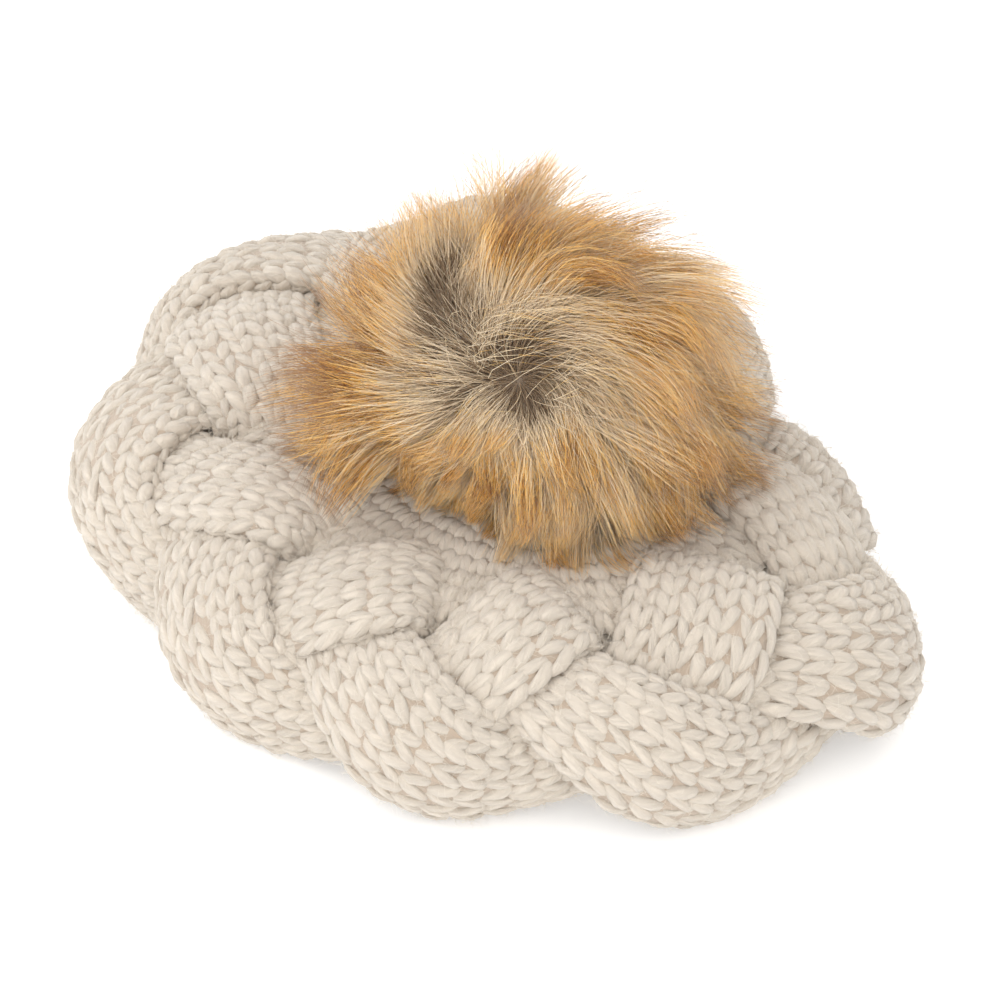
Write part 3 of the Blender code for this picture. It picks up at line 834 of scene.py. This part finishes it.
def hair_heading(point, share, lay, swirl, drift):
    """Directions in which hairs grow on from their points, at a share of their length."""
    outward = unit(point - POM_CENTRE)
    flat = unit(outward - (outward @ WHORL_AXIS)[:, None] * WHORL_AXIS)
    sideways = -np.cross(WHORL_AXIS, flat)
    heading = outward * (1.0 - 0.75 * lay)[:, None] + flat * (0.9 * lay)[:, None]
    heading = heading + sideways * (swirl * (0.25 + 0.95 * share))[:, None] + UP * (-DROOP * share)
    return unit(heading + drift * (0.5 + share))


def laid_on_knit(point, clearance):
    """The points, raised to lie on the knit where they are under it, and slid outwards as they rise."""
    lowest = rest_height(point) + clearance
    raised = np.maximum(lowest - point[:, 2], 0.0)
    away = point - POM_CENTRE
    away[:, 2] = 0.0
    laid = point + unit(away) * (KNIT_SLIDE * raised)[:, None]
    laid[:, 2] = np.maximum(laid[:, 2], lowest)
    return laid


def grow_hair(roots, length, rng, wildness):
    """Paths of hairs (hairs, points, 3) from root directions: combed round the whorl, then drooping."""
    count = len(roots)
    point = POM_CENTRE + roots * BALL_RADIUS
    path = [point]
    facing = roots @ WHORL_AXIS
    swirl = swirl_of(whorl_angle(roots)) * np.clip(1.0 + 1.4 * facing, 0.0, 1.0)
    lay = np.interp(facing, *np.transpose(HAIR_LAY))
    drift = rng.normal(0.0, wildness, (count, 3)) + comb_marks(roots)
    step = length / (FUR_STEPS - 1)
    clearance = rng.uniform(*KNIT_CLEARANCE, count) * MM
    for k in range(1, FUR_STEPS):
        heading = hair_heading(point, k / (FUR_STEPS - 1), lay, swirl, drift)
        point = laid_on_knit(point + heading * step[:, None], clearance)
        path.append(point)
    return np.stack(path, axis=1)


def nearest(points, targets):
    """Index of the nearest target direction to each point."""
    best = np.empty(len(points), dtype=int)
    for start in range(0, len(points), 4000):
        best[start : start + 4000] = np.argmax(points[start : start + 4000] @ targets.T, axis=1)
    return best


def resample(path, share):
    """Each path cut or drawn out to a share of its length."""
    at = np.clip(np.linspace(0.0, 1.0, FUR_STEPS)[None, :] * share[:, None], 0.0, 1.0) * (FUR_STEPS - 1)
    low = np.minimum(at.astype(int), FUR_STEPS - 2)
    part = (at - low)[..., None]
    row = np.arange(len(path))[:, None]
    return path[row, low] * (1.0 - part) + path[row, low + 1] * part


def partings_and_painted_light(points):
    """How far the bands shift at points, as a share of them: partings that show dark roots, painted light and
    shade on the fur, and the other listed patches.
    """
    away = (points - POM_CENTRE) / MM
    right, up, out = away @ WHORL_RIGHT, away @ WHORL_UP, away @ WHORL_AXIS
    depth = 0.0
    for at_right, at_up, wide, high, amount in FUR_PARTINGS_AND_PAINTED_LIGHT:
        depth = depth + amount * np.exp(-(((right - at_right) / wide) ** 2) - ((up - at_up) / high) ** 2)
    return np.where(out > 0.0, depth, 0.0)


def patches(roots):
    """Broad lighter and darker patches of the fur, as a shift along its bands."""
    wave = np.cos(5.0 * roots[:, 0] + 2.0) * np.cos(4.0 * roots[:, 2] + 1.0) + np.cos(7.0 * roots[:, 1] + 0.5)
    return 0.065 * wave - 0.03


def hair_shades(path, share_shift, band_stretch, dark_tip):
    """Shade number of each segment of each hair, from root to tip."""
    segments = FUR_STEPS - 1
    share = (np.arange(segments) + 0.5) / segments
    middle = 0.5 * (path[:, 1:] + path[:, :-1])
    value = share[None, :] * band_stretch[:, None] + share_shift[:, None] - partings_and_painted_light(middle)
    value = value + dark_tip[:, None] * share[None, :] ** 4
    return (np.clip(value, 0.0, 0.999) * FUR_SHADES).astype(int)


def lies_low(path):
    """Hairs that would meet the cap when the pom tilts as far as it can."""
    away = np.linalg.norm((path - POM_CENTRE)[..., :2], axis=-1)
    over = path[..., 2] - rest_height(path)
    return (over < TILT_SLOPE * away).any(axis=1)


def in_pieces(order):
    """The hairs in as few equal shares as keep each piece under its size."""
    return np.array_split(order, math.ceil(len(order) / HAIRS_PER_PIECE))


def hair_piece(name, chosen, hairs, shades, rng):
    """One piece of fur from the chosen hairs of `hairs`: paths, thicknesses and shade numbers."""
    path, thick, tone = (column[chosen] for column in hairs)
    normals = unit(path - POM_CENTRE) + 0.3 * unit(rng.normal(0.0, 1.0, (len(chosen), 1, 3)))
    vertices, quads, _, _, _ = sweep(path, thick, normals)
    return add_piece(name, vertices, quads, shades, np.repeat(tone.ravel(), 3))


def guard_hairs(rng):
    """Guard hairs gathered into locks: root directions, and (paths, thicknesses, shade numbers)."""
    guides = scattered_roots(LOCKS, rng, LOWEST_ROOT)
    guide_length = fur_length(guides) * rng.uniform(*LOCK_LENGTHS, len(guides))
    guide_path = grow_hair(guides, guide_length, rng, LOCK_WILDNESS)
    roots = scattered_roots(GUARD_HAIRS, rng, LOWEST_ROOT)
    count = len(roots)
    lock = nearest(roots, guides)
    length = guide_length[lock] * rng.uniform(*GUARD_LENGTHS, count)
    path = grow_hair(roots, length, rng, GUARD_WILDNESS)
    share = np.linspace(0.0, 1.0, FUR_STEPS)
    pull = (LOCK_PULL * share**1.2)[None, :, None] * rng.uniform(*LOCK_GRIPS, count)[:, None, None]
    path = path * (1.0 - pull) + resample(guide_path[lock], length / guide_length[lock]) * pull
    shift = rng.normal(0.0, HAIR_SHIFT, count) + rng.normal(0.0, LOCK_SHIFT, len(guides))[lock]
    shift = shift + patches(roots)
    stretch = rng.normal(1.0, BAND_STRETCH, count)
    dark_tip = SIDE_TIPS * np.cos(whorl_angle(roots)) ** 6
    thick = FUR_RADIUS * GUARD_TAPER[None, :] * rng.uniform(*THICKNESSES, count)[:, None]
    return roots, (path, thick, hair_shades(path, shift, stretch, dark_tip))


def make_under_fur(shades, rng):
    """Short soft fur close to the backing."""
    roots = scattered_roots(UNDER_HAIRS, rng, LOWEST_ROOT)
    count = len(roots)
    length = 0.5 * fur_length(roots) * rng.uniform(*UNDER_LENGTHS, count)
    path = grow_hair(roots, length, rng, UNDER_WILDNESS)
    thick = FUR_RADIUS * UNDER_TAPER[None, :] * rng.uniform(*THICKNESSES, (count, 1))
    bands = np.linspace(*UNDER_BANDS, FUR_STEPS - 1)[None, :] + rng.normal(0.0, 0.04, (count, 1))
    tone = (np.clip(bands, 0.0, 0.99) * FUR_SHADES).astype(int)
    return [
        hair_piece(f"fur_under_{number + 1}", chosen, (path, thick, tone), shades, rng)
        for number, chosen in enumerate(in_pieces(np.arange(count)))
    ]


def make_strays(shades, rng):
    """Long single hairs with dark tips that stand clear of the fur's edge."""
    roots = scattered_roots(STRAY_HAIRS, rng, 0.0)
    count = len(roots)
    length = fur_length(roots) * rng.uniform(*STRAY_LENGTHS, count)
    path = grow_hair(roots, length, rng, STRAY_WILDNESS)
    keep = ~lies_low(path)
    thick = FUR_RADIUS * STRAY_TAPER[None, :] * np.ones((keep.sum(), 1))
    tone = hair_shades(path, np.zeros(count), rng.uniform(1.0, 1.2, count), np.full(count, STRAY_TIPS))
    vertices, quads, _, _, _ = sweep(path[keep], thick, unit(path[keep] - POM_CENTRE))
    return add_piece("fur_strays", vertices, quads, shades, np.repeat(tone[keep].ravel(), 3))


def make_fur(rng):
    """The pom's fur in two lists: the pieces that stand on the pom, and the fringe over the cap by sector."""
    shades = fur_materials()
    roots, hairs = guard_hairs(rng)
    path = hairs[0]
    low = lies_low(path)
    order = np.argsort(np.arctan2(roots[:, 1], roots[:, 0]), kind="stable")
    standing = [
        hair_piece(f"fur_guard_{number + 1}", chosen, hairs, shades, rng)
        for number, chosen in enumerate(in_pieces(order[~low[order]]))
    ]
    standing += make_under_fur(shades, rng)
    standing.append(make_strays(shades, rng))
    azimuth = np.arctan2(path[:, -1, 1] - POM_CENTRE[1], path[:, -1, 0] - POM_CENTRE[0])
    sector = np.round(azimuth / (TAU / FRINGE_SECTORS)).astype(int) % FRINGE_SECTORS
    fringe = [
        hair_piece(f"fur_fringe_{number + 1}", np.flatnonzero(low & (sector == number)), hairs, shades, rng)
        for number in range(FRINGE_SECTORS)
    ]
    return standing, fringe


def hang_fringe(fringe):
    """The fringe, sector by sector, with each piece's transform applied to its mesh."""
    for number, piece in enumerate(fringe):
        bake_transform(piece)


def make_camera():
    """The camera, far off with a long lens, as the view is nearly parallel."""
    data = bpy.data.cameras.new("camera")
    data.lens = LENS
    data.sensor_width = SENSOR
    data.clip_start = 0.01
    camera = bpy.data.objects.new("camera", data)
    bpy.context.scene.collection.objects.link(camera)
    distance = VIEW_WIDTH * LENS / SENSOR
    towards = np.array([0.0, -math.cos(VIEW_ELEVATION), math.sin(VIEW_ELEVATION)])
    camera.location = VIEW_TARGET + distance * towards
    camera.rotation_euler = (math.pi / 2 - VIEW_ELEVATION, 0.0, 0.0)
    bpy.context.scene.camera = camera


def add_light(name, energy, size, location):
    """A round soft light that faces the object."""
    data = bpy.data.lights.new(name, "AREA")
    data.shape = "DISK"
    data.size = size
    data.energy = energy
    light = bpy.data.objects.new(name, data)
    light.location = location
    away = np.array(location) - LIGHT_TARGET
    yaw = math.atan2(away[0], -away[1])
    light.rotation_euler = (math.acos(away[2] / np.linalg.norm(away)), 0.0, yaw)
    bpy.context.scene.collection.objects.link(light)


def make_stage():
    """Pale floor, soft studio light."""
    corners = [(FLOOR_HALF * x, FLOOR_HALF * y, 0.0) for x, y in ((-1, -1), (1, -1), (1, 1), (-1, 1))]
    material, _, shader = new_material("floor")
    set_inputs(
        shader,
        {
            "Base Color": (0.93, 0.93, 0.93, 1.0),
            "Roughness": 0.9,
            "Specular IOR Level": 0.0,
            "Emission Color": (1.0, 1.0, 1.0, 1.0),
            "Emission Strength": 0.3,
        },
    )
    add_piece("floor", np.array(corners), np.array([(0, 1, 2, 3)]), [material])
    world = bpy.data.worlds.new("studio")
    world.use_nodes = True
    set_inputs(world.node_tree.nodes["Background"], {"Color": (1.0, 1.0, 1.0, 1.0), "Strength": 1.0})
    bpy.context.scene.world = world
    add_light("key", 5.2, 0.9, (-0.80, -0.05, 1.00))
    add_light("fill", 3.8, 1.2, (-0.05, -1.00, 0.80))
    add_light("back", 1.2, 0.8, (0.2, 1.0, 0.9))
    bpy.context.scene.view_settings.view_transform = "Standard"


def ride_all(pieces, body):
    """The pieces move with a body."""
    for piece in pieces:
        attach(piece, body)


def main():
    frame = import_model()
    make_camera()
    make_stage()
    rng = np.random.default_rng(KNIT_SEED)
    ride_all(make_knit(rng), "cap")
    wall, brim = make_panels(rng)
    ride_all([wall], "cap")
    ride_all([brim], "cap")
    standing, fringe = make_fur(np.random.default_rng(FUR_SEED))
    ride_all(standing, "pom")
    hang_fringe(fringe)
    for piece in standing:
        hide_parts("pom_fur_pile")
    dress_inner_parts(frame["nodes"])


main()
